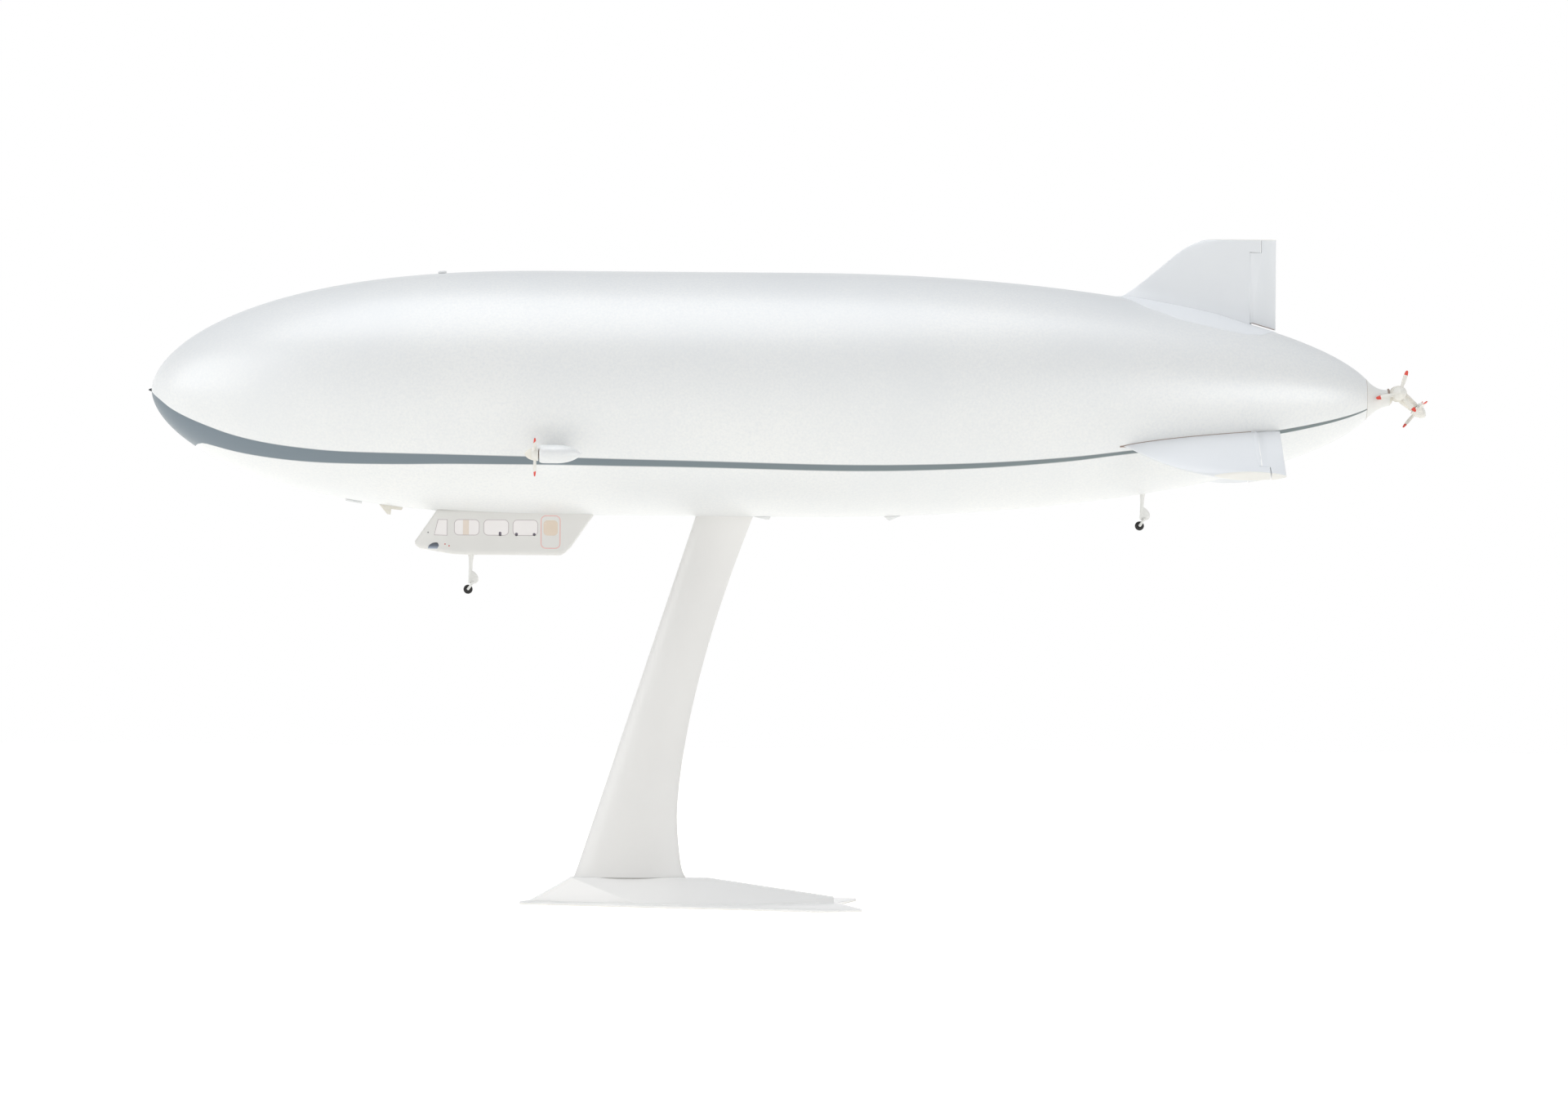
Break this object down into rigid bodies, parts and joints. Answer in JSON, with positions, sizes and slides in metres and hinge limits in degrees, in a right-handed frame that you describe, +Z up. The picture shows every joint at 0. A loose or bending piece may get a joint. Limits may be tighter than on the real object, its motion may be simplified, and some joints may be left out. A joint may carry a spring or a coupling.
{
  "type": "airship display model",
  "caption": "Display model of a semi-rigid airship on a swept stand, with swivelling engines, spinning propellers, hinged rudder and elevators.",
  "frame": {"origin": "on the underside of the stand's base, under the stand's middle", "axes": "+X points aft along the hull, +Y to starboard, +Z up; the underside of the base faces -Z"},
  "size_m": [0.3757, 0.0944, 0.1967],
  "materials": {
    "stand_plastic": "white moulded plastic, satin gloss",
    "pearl_paint": "pearl silver paint over moulded plastic",
    "white_plastic": "white paint over moulded plastic",
    "ivory_plastic": "ivory moulded plastic",
    "steel": "drawn steel wire",
    "black_rubber": "matt black rubber",
    "dark_plastic": "dark grey moulded plastic",
    "tan_plastic": "tan moulded plastic",
    "clear_plastic": "clear moulded plastic"
  },
  "bodies": {
    "stand": {"stand_base": "stand_plastic", "stand_pylon": "stand_plastic"},
    "airship": {"hull_port_shell": "pearl_paint", "hull_starboard_shell": "pearl_paint", "front_joining_ring": "ivory_plastic", "rear_joining_ring": "ivory_plastic", "stand_socket": "ivory_plastic", "nose_cap": "pearl_paint", "nose_probe": "dark_plastic", "top_valve_cover": "pearl_paint", "keel_plate": "pearl_paint", "keel_antenna": "ivory_plastic", "front_keel_vent": "pearl_paint", "rear_keel_vent": "pearl_paint", "top_fin": "white_plastic", "port_fin": "white_plastic", "starboard_fin": "white_plastic", "rudder_pin": "steel", "port_elevator_pin": "steel", "starboard_elevator_pin": "steel", "port_outrigger": "pearl_paint", "starboard_outrigger": "pearl_paint", "tail_cone": "pearl_paint", "tail_gearbox": "pearl_paint", "tail_cross_shaft": "steel", "gondola_shell": "pearl_paint", "gondola_floor": "pearl_paint", "cabin_seats": "tan_plastic", "cabin_door": "pearl_paint", "port_glazing": "clear_plastic", "starboard_glazing": "clear_plastic", "port_quarter_pane": "clear_plastic", "starboard_quarter_pane": "clear_plastic", "windscreen": "clear_plastic", "front_gear_leg": "ivory_plastic", "front_axle": "steel", "rear_gear_leg": "ivory_plastic", "rear_axle": "steel"},
    "port_engine": {"port_nacelle": "pearl_paint", "port_prop_shaft": "steel"},
    "starboard_engine": {"starboard_nacelle": "pearl_paint", "starboard_prop_shaft": "steel"},
    "port_prop": {"port_propeller": "ivory_plastic", "port_spinner": "ivory_plastic"},
    "starboard_prop": {"starboard_propeller": "ivory_plastic", "starboard_spinner": "ivory_plastic"},
    "lateral_prop": {"lateral_propeller": "ivory_plastic"},
    "rear_unit": {"rear_swivel_housing": "pearl_paint", "rear_prop_shaft": "steel"},
    "rear_prop": {"rear_propeller": "ivory_plastic"},
    "rudder_body": {"rudder": "white_plastic"},
    "port_elevator_body": {"port_elevator": "white_plastic"},
    "starboard_elevator_body": {"starboard_elevator": "white_plastic"},
    "front_wheel": {"front_wheel_hub": "ivory_plastic", "front_tyre": "black_rubber"},
    "rear_wheel": {"rear_wheel_hub": "ivory_plastic", "rear_tyre": "black_rubber"}
  },
  "joints": [
    {"name": "lift_off", "type": "slide", "parent": "stand", "child": "airship", "axis": [0, 0, 1], "range_m": [0, 0.02]},
    {"name": "port_engine_swivel", "type": "hinge", "parent": "airship", "child": "port_engine", "pos_m": [-0.039, -0.042, 0.1315], "axis": [0, 1, 0], "range_deg": [0, 120]},
    {"name": "starboard_engine_swivel", "type": "hinge", "parent": "airship", "child": "starboard_engine", "pos_m": [-0.039, 0.042, 0.1315], "axis": [0, 1, 0], "range_deg": [0, 120]},
    {"name": "port_propeller_spin", "type": "hinge", "parent": "port_engine", "child": "port_prop", "pos_m": [-0.044, -0.042, 0.1315], "axis": [1, 0, 0], "continuous": true},
    {"name": "starboard_propeller_spin", "type": "hinge", "parent": "starboard_engine", "child": "starboard_prop", "pos_m": [-0.044, 0.042, 0.1315], "axis": [1, 0, 0], "continuous": true},
    {"name": "lateral_propeller_spin", "type": "hinge", "parent": "airship", "child": "lateral_prop", "pos_m": [0.2083, -0.005, 0.1517], "axis": [0, 1, 0], "continuous": true},
    {"name": "rear_propeller_tilt", "type": "hinge", "parent": "airship", "child": "rear_unit", "pos_m": [0.2083, 0, 0.1517], "axis": [0, 1, 0], "range_deg": [-40, 50]},
    {"name": "rear_propeller_spin", "type": "hinge", "parent": "rear_unit", "child": "rear_prop", "pos_m": [0.21366, 0, 0.1472], "axis": [0.766, 0, -0.6428], "continuous": true},
    {"name": "rudder_hinge", "type": "hinge", "parent": "airship", "child": "rudder_body", "pos_m": [0.1645, 0, 0.185], "axis": [0, 0, 1], "range_deg": [-25, 25]},
    {"name": "port_elevator_hinge", "type": "hinge", "parent": "airship", "child": "port_elevator_body", "pos_m": [0.1645, -0.03031, 0.1325], "axis": [0, -0.866, -0.5], "range_deg": [-25, 25]},
    {"name": "starboard_elevator_hinge", "type": "hinge", "parent": "airship", "child": "starboard_elevator_body", "pos_m": [0.1645, 0.03031, 0.1325], "axis": [0, 0.866, -0.5], "range_deg": [-25, 25]},
    {"name": "front_wheel_spin", "type": "hinge", "parent": "airship", "child": "front_wheel", "pos_m": [-0.0648, 0, 0.0922], "axis": [0, 1, 0], "continuous": true},
    {"name": "rear_wheel_spin", "type": "hinge", "parent": "airship", "child": "rear_wheel", "pos_m": [0.1324, 0, 0.11227], "axis": [0, 1, 0], "continuous": true}
  ]
}
